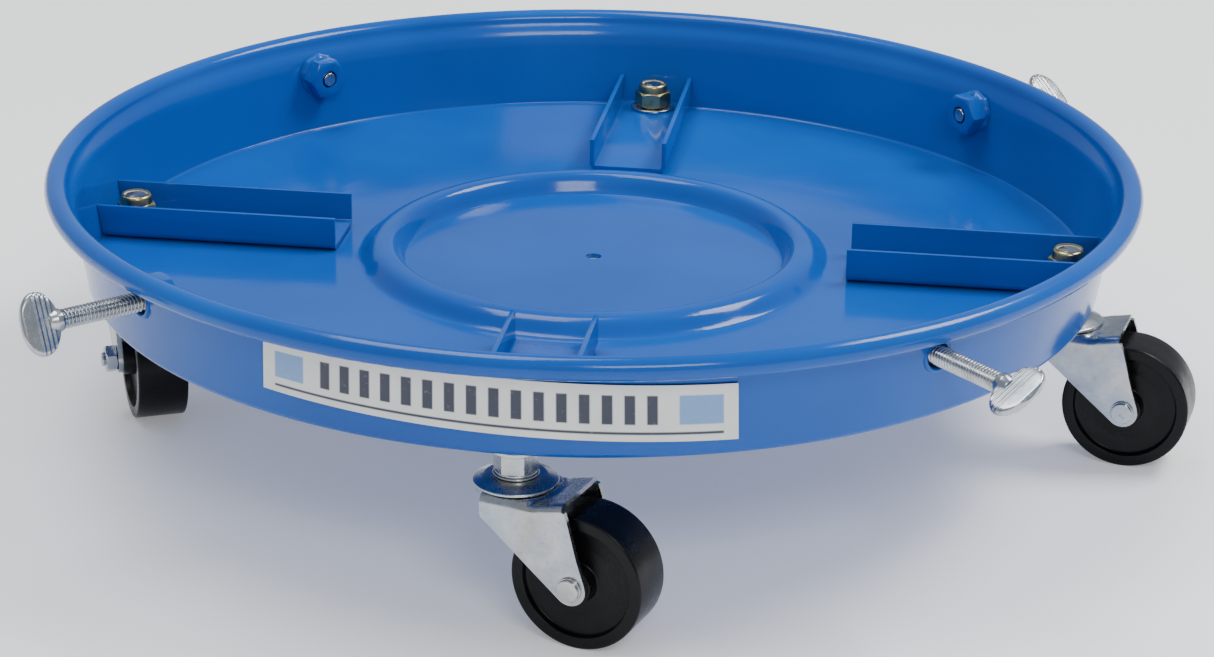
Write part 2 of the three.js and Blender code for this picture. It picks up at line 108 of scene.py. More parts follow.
def add_camera():
    """Centred lens, looking down and a little to the left, rolled slightly."""
    turn, down, roll = (math.radians(a) for a in (CAMERA_TURN, CAMERA_DOWN, CAMERA_ROLL))
    forward = Vector((-math.sin(turn) * math.cos(down), math.cos(turn) * math.cos(down), -math.sin(down)))
    level = Vector((math.cos(turn), math.sin(turn), 0))
    up = level.cross(forward)
    right = math.cos(roll) * level + math.sin(roll) * up
    top = -math.sin(roll) * level + math.cos(roll) * up
    data = bpy.data.cameras.new("camera")
    data.sensor_width = SENSOR_WIDTH
    data.lens = LENS
    camera = bpy.data.objects.new("camera", data)
    axes = Matrix((right, top, -forward)).transposed().to_4x4()
    camera.matrix_world = Matrix.Translation(CAMERA_PLACE) @ axes
    bpy.context.scene.collection.objects.link(camera)
    bpy.context.scene.camera = camera


add_camera()


# ---------------------------------------------------------------- materials

class Nodes:
    """A material's node tree, with short calls to add and join nodes."""

    def __init__(self, name):
        self.material = bpy.data.materials.new(name)
        self.material.use_nodes = True
        self.tree = self.material.node_tree
        self.shader = self.tree.nodes["Principled BSDF"]
        self.coords = self.add("ShaderNodeTexCoord").outputs["Object"]

    def add(self, kind, **settings):
        node = self.tree.nodes.new(kind)
        for key, value in settings.items():
            setattr(node, key, value)
        return node

    def join(self, source, target):
        self.tree.links.new(source, target)

    def noise(self, scale, detail=4, roughness=0.5, distortion=0.0):
        node = self.add("ShaderNodeTexNoise")
        node.inputs["Scale"].default_value = scale
        node.inputs["Detail"].default_value = detail
        node.inputs["Roughness"].default_value = roughness
        node.inputs["Distortion"].default_value = distortion
        self.join(self.coords, node.inputs["Vector"])
        return node.outputs["Fac"]

    def ramp(self, source, stops):
        node = self.add("ShaderNodeValToRGB")
        ramp = node.color_ramp
        while len(ramp.elements) < len(stops):
            ramp.elements.new(0.5)
        for element, (place, colour) in zip(ramp.elements, stops):
            element.position = place
            element.color = (*colour, 1)
        self.join(source, node.inputs["Fac"])
        return node.outputs["Color"]

    def range(self, source, low, high, to_low, to_high):
        node = self.add("ShaderNodeMapRange")
        values = {"From Min": low, "From Max": high, "To Min": to_low, "To Max": to_high}
        for key, value in values.items():
            node.inputs[key].default_value = value
        self.join(source, node.inputs["Value"])
        return node.outputs["Result"]

    def mix(self, factor, a, b):
        node = self.add("ShaderNodeMix", data_type="RGBA")
        for source, target in ((factor, node.inputs[0]), (a, node.inputs[6]), (b, node.inputs[7])):
            if isinstance(source, (tuple, float)):
                target.default_value = source if isinstance(source, float) else (*source, 1)
            else:
                self.join(source, target)
        return node.outputs[2]

    def math(self, operation, a, b):
        node = self.add("ShaderNodeMath", operation=operation)
        for source, target in ((a, node.inputs[0]), (b, node.inputs[1])):
            if isinstance(source, float):
                target.default_value = source
            else:
                self.join(source, target)
        return node.outputs[0]

    def bump(self, height, strength, distance, under=None):
        node = self.add("ShaderNodeBump")
        node.inputs["Strength"].default_value = strength
        node.inputs["Distance"].default_value = distance
        self.join(height, node.inputs["Height"])
        if under:
            self.join(under, node.inputs["Normal"])
        return node.outputs["Normal"]

    def finish(self, colour, roughness, normal=None, **constants):
        """Joins the maps to the shader, and sets its constants on its own sockets."""
        self.join(colour, self.shader.inputs["Base Color"])
        self.join(roughness, self.shader.inputs["Roughness"])
        if normal:
            self.join(normal, self.shader.inputs["Normal"])
        for key, value in constants.items():
            self.shader.inputs[key.replace("_", " ")].default_value = value
        return self.material


def edges(nodes, width):
    """1 on sharp outer edges, 0 on flats: the difference between a rounded normal and the true one."""
    bevel = nodes.add("ShaderNodeBevel", samples=4)
    bevel.inputs["Radius"].default_value = width
    geometry = nodes.add("ShaderNodeNewGeometry")
    dot = nodes.add("ShaderNodeVectorMath", operation="DOT_PRODUCT")
    nodes.join(bevel.outputs["Normal"], dot.inputs[0])
    nodes.join(geometry.outputs["Normal"], dot.inputs[1])
    return nodes.range(dot.outputs["Value"], 0.75, 0.995, 1.0, 0.0)


def blue_paint():
    n = Nodes("blue_enamel")
    cloud = n.noise(9, 3)
    blues = [(0.3, (0.002, 0.066, 0.33)), (0.55, (0.003, 0.082, 0.39)), (0.8, (0.005, 0.1, 0.43))]
    colour = n.ramp(cloud, blues)
    speck = n.range(n.noise(900, 2, 0.6), 0.7, 0.74, 0.0, 0.3)
    colour = n.mix(speck, colour, (0.012, 0.15, 0.5))
    worn = n.math("MULTIPLY", edges(n, 0.0009), n.range(n.noise(130, 5, 0.7), 0.56, 0.64, 0.0, 0.6))
    colour = n.mix(worn, colour, (0.12, 0.2, 0.34))
    rough = n.range(n.noise(22, 5, 0.6), 0.3, 0.7, 0.11, 0.19)
    peel = n.bump(n.noise(420, 2, 0.5), 0.08, 0.0004)
    ripple = n.bump(n.noise(16, 2, 0.4), 0.2, 0.004, peel)
    gloss = {"Coat_Weight": 0.12, "Coat_Roughness": 0.05, "Specular_IOR_Level": 0.24}
    return n.finish(colour, rough, ripple, Metallic=0.0, **gloss)


def zinc():
    n = Nodes("zinc_plate")
    cloud = n.noise(75, 5, 0.6, distortion=0.4)
    greys = [(0.25, (0.3, 0.33, 0.38)), (0.5, (0.43, 0.45, 0.48)), (0.72, (0.56, 0.56, 0.55))]
    colour = n.ramp(cloud, greys)
    tints = [(0.35, (0.86, 0.93, 1.0)), (0.5, (1, 1, 1)), (0.68, (1.0, 0.94, 0.8))]
    tint = n.ramp(n.noise(32, 3, distortion=1.2), tints)
    blend = n.add("ShaderNodeMix", data_type="RGBA", blend_type="MULTIPLY")
    blend.inputs[0].default_value = 0.8
    n.join(colour, blend.inputs[6])
    n.join(tint, blend.inputs[7])
    pits = n.range(n.noise(260, 6, 0.75), 0.6, 0.7, 0.0, 0.55)
    colour = n.mix(pits, blend.outputs[2], (0.12, 0.13, 0.15))
    rough = n.range(n.noise(140, 5, 0.65), 0.3, 0.7, 0.16, 0.34)
    grain = n.bump(n.noise(520, 4, 0.6), 0.06, 0.0003)
    return n.finish(colour, rough, grain, Metallic=1.0)


def yellow_zinc():
    n = Nodes("yellow_chromate")
    cloud = n.noise(120, 3, 0.5, distortion=1.0)
    gold, olive, rose = (0.42, 0.33, 0.13), (0.4, 0.4, 0.2), (0.4, 0.27, 0.2)
    colour = n.ramp(cloud, [(0.3, gold), (0.48, (0.52, 0.44, 0.2)), (0.6, olive), (0.76, rose)])
    rough = n.range(n.noise(200, 4), 0.3, 0.7, 0.2, 0.38)
    grain = n.bump(n.noise(600, 3), 0.12, 0.0002)
    return n.finish(colour, rough, grain, Metallic=1.0)


def black_plastic():
    n = Nodes("black_moulded_plastic")
    blacks = [(0.3, (0.002, 0.002, 0.0024)), (0.62, (0.004, 0.004, 0.0044)), (0.8, (0.008, 0.008, 0.008))]
    colour = n.ramp(n.noise(60, 5, 0.6), blacks)
    dust = n.range(n.noise(340, 5, 0.7), 0.64, 0.78, 0.0, 0.15)
    colour = n.mix(dust, colour, (0.035, 0.034, 0.032))
    rough = n.range(n.noise(70, 5, 0.65), 0.3, 0.72, 0.2, 0.42)
    grain = n.bump(n.noise(700, 4, 0.6), 0.18, 0.0003)
    swirl = n.bump(n.noise(40, 2), 0.12, 0.0012, grain)
    return n.finish(colour, rough, swirl, Metallic=0.0, Specular_IOR_Level=0.2)


def nylon():
    n = Nodes("nylon_insert")
    colour = n.ramp(n.noise(240, 3), [(0.3, (0.5, 0.5, 0.46)), (0.7, (0.66, 0.65, 0.6))])
    rough = n.range(n.noise(300, 3), 0.3, 0.7, 0.45, 0.6)
    return n.finish(colour, rough, n.bump(n.noise(500, 2), 0.1, 0.0002), Metallic=0.0)


def label_film():
    """Pale film with a plain printed pattern of bars, laid out on the label's own UV map."""
    n = Nodes("label_film")
    base = n.ramp(n.noise(60, 4), [(0.3, (0.64, 0.64, 0.62)), (0.7, (0.71, 0.71, 0.69))])
    uv = n.add("ShaderNodeTexCoord").outputs["UV"]
    split = n.add("ShaderNodeSeparateXYZ")
    n.join(uv, split.inputs[0])
    along, across = split.outputs["X"], split.outputs["Y"]

    def between(value, low, high, soft):
        up = n.range(value, low - soft, low + soft, 0.0, 1.0)
        fall = n.range(value, high - soft, high + soft, 1.0, 0.0)
        return n.math("MULTIPLY", up, fall)

    def block(u0, u1, v0, v1):
        return n.math("MULTIPLY", between(along, u0, u1, 0.0015), between(across, v0, v1, 0.012))

    navy, sky = (0.01, 0.016, 0.04), (0.16, 0.3, 0.55)
    ink = n.noise(500, 4, 0.7)
    for u0, u1, v0, v1, colour in LABEL_BLOCKS:
        mask = n.math("MULTIPLY", block(u0, u1, v0, v1), n.range(ink, 0.25, 0.4, 0.85, 1.0))
        base = n.mix(mask, base, navy if colour == "navy" else sky)
    rough = n.range(n.noise(180, 4), 0.3, 0.7, 0.32, 0.45)
    return n.finish(base, rough, n.bump(n.noise(700, 2), 0.08, 0.0002), Metallic=0.0, Coat_Weight=0.2)


# A plain band of bars and a rule: start and end along the label, low and high across it, ink
LABEL_BLOCKS = [
    (0.03, 0.97, 0.12, 0.17, "navy"),
    (0.03, 0.1, 0.3, 0.82, "sky"),
    *[(0.14 + 0.045 * i, 0.14 + 0.045 * i + 0.022, 0.3, 0.82, "navy") for i in range(16)],
    (0.88, 0.97, 0.3, 0.82, "sky"),
]


def floor_material():
    n = Nodes("studio_floor")
    colour = n.ramp(n.noise(3, 2), [(0.3, (0.9, 0.9, 0.9)), (0.7, (0.92, 0.92, 0.92))])
    rough = n.range(n.noise(6, 2), 0.3, 0.7, 0.6, 0.66)
    return n.finish(colour, rough, Emission_Color=(1, 1, 1, 1), Emission_Strength=0.25)


BLUE = blue_paint()
ZINC = zinc()
YELLOW = yellow_zinc()
BLACK = black_plastic()
NYLON = nylon()
LABEL = label_film()


# ---------------------------------------------------------------- mesh helpers

BEVEL_ANGLE, BEVEL_SEGMENTS = 40, 2


def shade(mesh, sharp=SHARP):
    """Smooth faces, with the edges sharper than that angle left sharp."""
    mesh.polygons.foreach_set("use_smooth", [True] * len(mesh.polygons))
    mesh.set_sharp_from_angle(angle=math.radians(sharp))


def piece(name, points, faces, material, place=Matrix.Identity(4), sharp=SHARP):
    """A mesh object from points in millimetres, put in place in metres."""
    mesh = bpy.data.meshes.new(name)
    mesh.from_pydata([place @ (Vector(p) * MM) for p in points], [], faces)
    mesh.validate()
    shade(mesh, sharp)
    mesh.materials.append(material)
    obj = bpy.data.objects.new(name, mesh)
    bpy.context.scene.collection.objects.link(obj)
    return obj


def modify(obj, kind, **settings):
    """Adds a modifier and applies it."""
    modifier = obj.modifiers.new(kind, kind)
    for key, value in settings.items():
        setattr(modifier, key, value)
    bpy.context.view_layer.update()
    evaluated = obj.evaluated_get(bpy.context.evaluated_depsgraph_get())
    mesh = bpy.data.meshes.new_from_object(evaluated)
    obj.modifiers.clear()
    old = obj.data
    obj.data = mesh
    bpy.data.meshes.remove(old)


def cut(obj, tool, operation="DIFFERENCE"):
    modify(obj, "BOOLEAN", object=tool, operation=operation, solver="EXACT")
    bpy.data.objects.remove(tool)
    shade(obj.data)


def soften(obj, width):
    """Rounds the sharp edges by a bevel of that width in millimetres."""
    limit = math.radians(BEVEL_ANGLE)
    modify(obj, "BEVEL", width=width * MM, segments=BEVEL_SEGMENTS, limit_method="ANGLE", angle_limit=limit)
    shade(obj.data)


def arc(cx, cy, radius, start, end, steps):
    """Points of an arc, angles in degrees."""
    angles = [math.radians(start + (end - start) * i / steps) for i in range(steps + 1)]
    return [(cx + radius * math.cos(a), cy + radius * math.sin(a)) for a in angles]


def fillet(corners, steps=4):
    """A closed outline from (x, y, radius) corners, each one rounded by its radius."""
    points = []
    count = len(corners)
    for i, (x, y, radius) in enumerate(corners):
        here = Vector((x, y))
        if radius <= 0:
            points.append((x, y))
            continue
        before = (Vector(corners[i - 1][:2]) - here).normalized()
        after = (Vector(corners[(i + 1) % count][:2]) - here).normalized()
        half = before.angle(after) / 2
        middle = here + (before + after).normalized() * radius / math.sin(half)
        start = here + before * radius / math.tan(half) - middle
        end = here + after * radius / math.tan(half) - middle
        for k in range(steps + 1):
            direction = start.lerp(end, k / steps).normalized()
            points.append(tuple(middle + direction * radius))
    return points


def lathe(name, profile, material, place=Matrix.Identity(4), segments=96, warp=None):
    """Turns a closed (radius, z) profile round Z. Points on the axis become single vertices."""
    points, rings = [], []
    for radius, z in profile:
        if radius < 1e-6:
            rings.append([len(points)])
            points.append((0, 0, z))
            continue
        ring = []
        for k in range(segments):
            a = 2 * math.pi * k / segments
            ring.append(len(points))
            p = (radius * math.cos(a), radius * math.sin(a), z)
            points.append(warp(p) if warp else p)
        rings.append(ring)
    faces = []
    for i, ring in enumerate(rings):
        following = rings[(i + 1) % len(rings)]
        if len(ring) == 1 and len(following) == 1:
            continue
        for k in range(segments):
            n = (k + 1) % segments
            corners = [ring[k % len(ring)], ring[n % len(ring)]]
            corners += [following[n % len(following)], following[k % len(following)]]
            faces.append(list(dict.fromkeys(corners)))
    return piece(name, points, faces, material, place)


def prism(name, outline, low, high, material, place=Matrix.Identity(4)):
    count = len(outline)
    points = [(x, y, low) for x, y in outline] + [(x, y, high) for x, y in outline]
    faces = [list(range(count))[::-1], list(range(count, 2 * count))]
    faces += [[i, (i + 1) % count, count + (i + 1) % count, count + i] for i in range(count)]
    return piece(name, points, faces, material, place)


def join(target, *others):
    """Joins pieces into one object."""
    bpy.ops.object.select_all(action="DESELECT")
    for obj in (target, *others):
        obj.select_set(True)
    bpy.context.view_layer.objects.active = target
    bpy.ops.object.join()
    return target


def put(obj, body, slot, *nodes):
    """Rides the piece on its body, and hides the CAD nodes that it stands for. The slot is not used."""
    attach(obj, body)
    if nodes:
        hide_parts(*nodes)


def thread(name, major, depth, pitch, low, high, place, lead=0.8):
    """A closed zinc rod along Z, with a helical vee thread that fades over the lead at both ends."""
    segments, steps = 32, 8
    # The crest as a clipped triangle over one turn: flats at the top and the root, flanks between
    flat_top, flank = 1.35, 3.1
    rows = int(round((high - low) / pitch * steps))
    points = [(0, 0, low)]
    for j in range(rows + 1):
        z = low + (high - low) * j / rows
        fade = min(1.0, (z - low) / lead, (high - z) / lead)
        for k in range(segments):
            phase = (z / pitch - k / segments) % 1.0
            crest = max(0.0, min(1.0, flat_top - abs(phase - 0.5) * flank))
            radius = major - depth * (1 - crest * fade)
            a = 2 * math.pi * k / segments
            points.append((radius * math.cos(a), radius * math.sin(a), z))
    points.append((0, 0, high))
    top = len(points) - 1
    faces = []
    for k in range(segments):
        n = (k + 1) % segments
        faces.append([0, 1 + n, 1 + k])
        last = 1 + rows * segments
        faces.append([top, last + k, last + n])
        for j in range(rows):
            a, b = 1 + j * segments, 1 + (j + 1) * segments
            faces.append([a + k, a + n, b + n, b + k])
    return piece(name, points, faces, ZINC, place, sharp=60)


def hex_blank(name, flats, low, high, material, place, bore=0.0):
    """A hexagon with corners chamfered at 30 degrees, and a bore if one is given."""
    corner = flats / math.sqrt(3)
    blank = prism(name, arc(0, 0, corner, 0, 300, 5), low, high, material)
    face = flats / 2 * 0.96
    drop = (corner - face) * math.tan(math.radians(30))
    outside = corner + 0.01
    core = [
        (bore, low), (face, low), (outside, low + drop), (outside, high - drop), (face, high), (bore, high),
    ]
    envelope = lathe("envelope", core, material, segments=64)
    cut(blank, envelope, "INTERSECT")
    blank.data.transform(Matrix(place))
    return blank


# ---------------------------------------------------------------- tray

def wall_inner(z):
    rise = (z - FLOOR_Z - CORNER_R) / (WALL_TOP_Z - FLOOR_Z - CORNER_R)
    return WALL_FOOT_R + (WALL_TOP_R - WALL_FOOT_R) * rise


# The round bead over the floor, steep inside and broad outside: radius, height over the floor, slope
BEAD = [
    (77.0, -DISC_DROP, 0), (78.3, 0.9, 2.2), (81.0, 5.6, 1.1), (84.8, 6.8, 0),
    (89.6, 5.7, -0.6), (94.6, 0.7, -0.8), (96.4, 0, 0),
]
BEAD_STEPS = 26
# Waves of the sheet: their length, and their height on the floor and in the wall
WAVE_LENGTH, FLOOR_WAVE, WALL_WAVE = 70.0, 0.28, 0.12
WAVY_FLOOR_R = 196
CENTRE_HOLE_R = 3.25
# Roll of the rim, in degrees round its centre
ROLL_FROM, ROLL_TO = 176, -128


def bead_height(r):
    """Height of the tray over its floor: a smooth curve through the bead's points, the disc inside them."""
    if r <= BEAD[0][0]:
        return -DISC_DROP
    for (r0, h0, s0), (r1, h1, s1) in zip(BEAD, BEAD[1:]):
        if r <= r1:
            t, span = (r - r0) / (r1 - r0), r1 - r0
            start = (1 + 2 * t) * (1 - t) ** 2 * h0 + t * (1 - t) ** 2 * span * s0
            return start + t * t * (3 - 2 * t) * h1 + t * t * (t - 1) * span * s1
    return 0.0


def tray_warp(p):
    """Slight waves of a drawn sheet, up to a few tenths of a millimetre, and never outwards."""
    x, y, z = p
    radius = math.hypot(x, y)
    wave = noise.noise(Vector((x, y, z)) / WAVE_LENGTH) - 0.5
    if radius < WAVY_FLOOR_R:
        return (x, y, z + FLOOR_WAVE * wave)
    scale = 1 + WALL_WAVE * (wave - 0.5) / radius
    return (x * scale, y * scale, z)


def tray_profile():
    roll_at = RIM_R - ROLL_R
    corner_at = WALL_FOOT_R - CORNER_R
    bead_from, bead_width = 77, 19.4
    radii = [CENTRE_HOLE_R, 20, 40, 60, 70, 75]
    radii += [bead_from + bead_width * i / BEAD_STEPS for i in range(BEAD_STEPS + 1)]
    radii += [98, 101, 110, 125, 140, 155, 170, 182, 190, 197]
    floor = [(r, FLOOR_Z + bead_height(r)) for r in radii]
    wall_heights = [76, 79, 83, 87, 91, 95, 99, WALL_TOP_Z]
    flare = [(WALL_TOP_R + 0.75, 104.8), (WALL_TOP_R + 1.8, 106.6), (WALL_TOP_R + 2.8, 108.0)]
    upper = [
        *floor,
        *arc(corner_at, FLOOR_Z + CORNER_R, CORNER_R, -90, 0, 6),
        *[(wall_inner(z), z) for z in wall_heights],
        *flare,
        *arc(roll_at, ROLL_Z, ROLL_R, ROLL_FROM, ROLL_TO, 26),
    ]
    lower = [
        *arc(roll_at, ROLL_Z, ROLL_R - SHEET, ROLL_TO, ROLL_FROM, 18),
        *[(r + SHEET, z) for r, z in reversed(flare)],
        *[(wall_inner(z) + SHEET, z) for z in reversed(wall_heights)],
        *arc(corner_at, FLOOR_Z + CORNER_R, CORNER_R + SHEET, 0, -90, 10),
        *[(r, z - SHEET) for r, z in reversed(floor)],
    ]
    return [*upper, *lower][::-1]


def corner_place(corner):
    """Frame with Z along the screw, pointing outwards from the tray's axis, at the screw's height."""
    inward = Vector(JOINTS[f"screw_turn_{corner}"]["axis"])
    out = -inward.normalized()
    side = Vector((-out.y, out.x, 0))
    axes = Matrix((side, Vector((0, 0, 1)), out)).transposed().to_4x4()
    return Matrix.Translation((TRAY_X, 0, SCREW_Z * MM)) @ axes


def side_place(side):
    stem = Vector(JOINTS[f"caster_swivel_{side}"]["pos_m"])
    return Matrix.Translation((stem.x, stem.y, 0))


def drill(obj, radius, low, high, place):
    """Cuts a round hole along the place's Z."""
    tool = lathe("tool", [(0, low), (radius, low), (radius, high), (0, high)], BLUE, place, segments=40)
    cut(obj, tool)


def build_tray():
    tray = lathe("tray", tray_profile(), BLUE, TRAY_PLACE, segments=240, warp=tray_warp)
    for side in SIDES:
        drill(tray, STEM_HOLE_R, 60, 90, side_place(side))
    for corner in CORNERS:
        drill(tray, WALL_HOLE_R, 199, 214, corner_place(corner))
    put(tray, "root", "blue_paint", "tray_pan")
    face = wall_inner(SCREW_Z) + SHEET
    lip = fillet([
        (WALL_HOLE_R, face - 1.2, 0), (6.9, face - 1.2, 0.2), (6.6, face + 0.35, 0.5),
        (5.5, face + 0.5, 0.4), (WALL_HOLE_R, face - 0.3, 0.3),
    ])
    for corner in CORNERS:
        collar = lathe(f"hole_lip_{corner}", lip, BLUE, corner_place(corner), segments=48)
        put(collar, "root", "blue_paint")


def channel_section():
    half, low = CHANNEL_WIDTH / 2, FLOOR_Z + GAP
    bend = CHANNEL_BEND
    inner_half, inner_bend = half - CHANNEL_SHEET, bend - CHANNEL_SHEET
    outer = [(-half, CHANNEL_TOP_Z), *arc(-half + bend, low + bend, bend, 180, 270, 6)]
    outer += [*arc(half - bend, low + bend, bend, 270, 360, 6), (half, CHANNEL_TOP_Z)]
    inner = [(inner_half, CHANNEL_TOP_Z), *arc(half - bend, low + bend, inner_bend, 360, 270, 6)]
    inner += [*arc(-half + bend, low + bend, inner_bend, 270, 180, 6), (-inner_half, CHANNEL_TOP_Z)]
    return outer + inner


def build_channel(side):
    """A bar of the channel section along a radius, its outer end trimmed to the wall."""
    angle = {"right": 0, "back": 90, "left": 180, "front": 270}[side]
    # The section lies in local X and Y, and the bar runs along local Z, outwards along the radius
    upright = Matrix(((0, 0, 1, 0), (1, 0, 0, 0), (0, 1, 0, 0), (0, 0, 0, 1)))
    lay = Matrix.Rotation(math.radians(angle), 4, "Z") @ upright
    bar = prism(f"channel_bar_{side}", channel_section(), CHANNEL_INNER_R, 208, BLUE, TRAY_PLACE @ lay)
    foot = FLOOR_Z + CORNER_R
    heights = [foot, foot + 1, 78, 83, 90]
    well = [(0, 70), (WALL_FOOT_R - CORNER_R, 70), (WALL_FOOT_R - CORNER_R, FLOOR_Z + GAP)]
    well += [*[(wall_inner(z) - CHANNEL_WALL_GAP, z) for z in heights], (0, 90)]
    cut(bar, lathe("tool", well, BLUE, TRAY_PLACE, segments=240), "INTERSECT")
    drill(bar, STEM_HOLE_R, 70, 82, side_place(side))
    soften(bar, 0.35)
    put(bar, "root", "blue_paint", f"channel_{side}")


def build_weld_nut(corner):
    """A chamfered hexagon, with a small fillet of weld where it meets the wall."""
    place = corner_place(corner)
    inner = NUT_FACE_R - NUT_THICKNESS
    nut = hex_blank(f"nut_body_{corner}", NUT_FLATS, inner, NUT_FACE_R, BLUE, place, bore=NUT_BORE_R)
    soften(nut, 0.18)
    weld = [(5.5, NUT_FACE_R - 0.9, 0), (8.2, NUT_FACE_R - 0.9, 0.3), (9.3, NUT_FACE_R + 0.4, 0.5)]
    weld += [(9.6, NUT_FACE_R + 1.9, 0), (5.5, NUT_FACE_R + 1.9, 0)]
    bead = lathe(f"weld_bead_{corner}", fillet(weld), BLUE, place, segments=64, warp=weld_warp)
    put(join(nut, bead), "root", "blue_paint", f"weld_nut_{corner}")


def weld_warp(p):
    """Uneven edge of a hand weld."""
    x, y, z = p
    a = math.atan2(y, x)
    scale = 1 + 0.02 * math.sin(9 * a) + 0.012 * math.sin(23 * a + 1)
    return (x * scale, y * scale, z)


# ---------------------------------------------------------------- thumb screws

# Turn of each flat head about its screw, in degrees
HEAD_TURN = {"front_left": 22, "front_right": 118, "back_right": 124, "back_left": 95}
NECK_AT, HEAD_END, HEAD_HALF = 242.0, 257.0, 12.0
HEAD_MIDDLE, HEAD_NECK_HALF = 249.6, 4.2
# Ribs across the inner half of the head, and the last stretch where its edge is rounded off
RIBS, RIBS_FROM, RIBS_TO = 4, NECK_AT + 2.2, 251.4
ROUND_OFF = 1.6
SCREW_R, THREAD_DEPTH, SCREW_PITCH, THREAD_END = 3.82, 0.8, 1.5, 241.4
TIP_R, TIP_LENGTH, TIP_GAP = 3.0, 1.2, 0.05


def head_half_width(y):
    """Half the head's length across the screw, at a distance along it: an oval, cut off at the neck."""
    t = abs(y - HEAD_MIDDLE) / (HEAD_END - HEAD_MIDDLE)
    width = HEAD_HALF * math.sqrt(max(0.0, 1 - t ** 2.15))
    return width if y > HEAD_MIDDLE else max(width, HEAD_NECK_HALF)


def head_half_thickness(y):
    """Half thickness: a plain outer half, and four ribs across the inner half."""
    t = (y - NECK_AT) / (HEAD_END - NECK_AT)
    base = 2.35 - 0.75 * t
    if y < RIBS_FROM or y > RIBS_TO:
        return base
    rib = math.sin(math.pi * (y - RIBS_FROM) / (RIBS_TO - RIBS_FROM) * RIBS) ** 2
    return base - 0.1 + 0.42 * rib ** 1.5


def build_head(corner):
    """The flat oval head: two faces over one grid, bent together along their long edges and at the end."""
    rows, columns = 64, 36
    start = NECK_AT + 0.8
    points, index = [], {}
    for i in range(rows + 1):
        y = start + (HEAD_END - start) * math.sin(math.pi / 2 * i / rows) ** 0.9
        width = max(head_half_width(y), 0.02)
        past = max(0.0, (y - (HEAD_END - ROUND_OFF)) / ROUND_OFF)
        tip = math.sqrt(max(0.0, 1 - past ** 2))
        for sign in (1, -1):
            for j in range(columns + 1):
                s = math.sin(math.pi / 2 * (2 * j / columns - 1))
                round_edge = math.sqrt(max(0.0, 1 - abs(s) ** 14))
                index[i, sign, j] = len(points)
                points.append((width * s, sign * head_half_thickness(y) * round_edge * tip, y))
    faces = []
    for i in range(rows):
        for j in range(columns):
            a, b = index[i, 1, j], index[i, 1, j + 1]
            c, d = index[i + 1, 1, j + 1], index[i + 1, 1, j]
            faces.append([a, d, c, b])
            a, b = index[i, -1, j], index[i, -1, j + 1]
            c, d = index[i + 1, -1, j + 1], index[i + 1, -1, j]
            faces.append([a, b, c, d])
    for j in range(columns):
        faces.append([index[0, 1, j], index[0, 1, j + 1], index[0, -1, j + 1], index[0, -1, j]])
        faces.append([index[rows, 1, j + 1], index[rows, 1, j], index[rows, -1, j], index[rows, -1, j + 1]])
    turn = Matrix.Rotation(math.radians(HEAD_TURN[corner] - 90), 4, "Z")
    head = piece(f"screw_head_{corner}", points, faces, ZINC, corner_place(corner) @ turn, sharp=50)
    modify(head, "WELD", merge_threshold=0.00002)
    return head


def build_screw(corner):
    place = corner_place(corner)
    body = f"screw_turn_{corner}"
    tip_end = TIP_FACE_R + TIP_LENGTH
    start = tip_end + TIP_GAP
    shank = thread(f"screw_thread_{corner}", SCREW_R, THREAD_DEPTH, SCREW_PITCH, start, THREAD_END, place)
    neck = fillet([
        (0, 240.6, 0), (3.7, 240.6, 0), (4.4, 241.6, 0.5),
        (4.4, 243.6, 1), (3.2, 246.5, 1.2), (0, 246.5, 0),
    ])
    collar = lathe(f"screw_neck_{corner}", neck, ZINC, place, segments=48)
    put(join(shank, collar, build_head(corner)), body, "zinc", f"thumb_screw_{corner}")
    tip = fillet([(0, TIP_FACE_R, 0), (TIP_R, TIP_FACE_R, 0.5), (TIP_R, tip_end, 0), (0, tip_end, 0)])
    point = lathe(f"screw_point_{corner}", tip, ZINC, place, segments=40)
    put(point, f"screw_slide_{corner}", "zinc", f"screw_tip_{corner}")


# ---------------------------------------------------------------- label

LABEL_LOW_Z, LABEL_HEIGHT, LABEL_FALL = 79.4, 22.8, 0.0308
# Ends of the label in degrees from the front, and how far each leans in towards its top
LABEL_FROM, LABEL_TO, LEAN_FROM, LEAN_TO = -26.7, 22.5, 0.9, 0.5
LABEL_THICKNESS = 0.32


def label_point(u, v, lift):
    """A point of the label, u along and v across: its edges slant, and its top is cut at the rim's flare."""
    a = math.radians((1 - u) * (LABEL_FROM + LEAN_FROM * v) + u * (LABEL_TO - LEAN_TO * v))
    low = LABEL_LOW_Z - LABEL_FALL * WALL_TOP_R * math.sin(a)
    z = low + (min(low + LABEL_HEIGHT, WALL_TOP_Z) - low) * v
    r = wall_inner(z) + SHEET + lift
    return (r * math.sin(a), -r * math.cos(a), z)


def build_label():
    columns, rows = 110, 8
    cells = [(i / columns, j / rows) for i in range(columns + 1) for j in range(rows + 1)]
    points = [label_point(u, v, lift) for lift in (GAP, GAP + LABEL_THICKNESS) for u, v in cells]
    step, total = rows + 1, len(cells)
    faces = []
    for i in range(columns):
        for j in range(rows):
            a = i * step + j
            quad = [a, a + step, a + step + 1, a + 1]
            faces.append([v + total for v in quad])
            faces.append(quad[::-1])
    rim = [i * step for i in range(columns + 1)] + [columns * step + j for j in range(1, rows + 1)]
    rim += [i * step + rows for i in range(columns - 1, -1, -1)] + list(range(rows - 1, 0, -1))
    for k, a in enumerate(rim):
        b = rim[(k + 1) % len(rim)]
        faces.append([a, b, b + total, a + total])
    plate = piece("label_sheet", points, faces, LABEL, TRAY_PLACE)
    uv = plate.data.uv_layers.new(name="UVMap")
    for loop in plate.data.loops:
        uv.data[loop.index].uv = cells[loop.vertex_index % total]
    put(plate, "root", "label", "label_plate")


# ---------------------------------------------------------------- casters

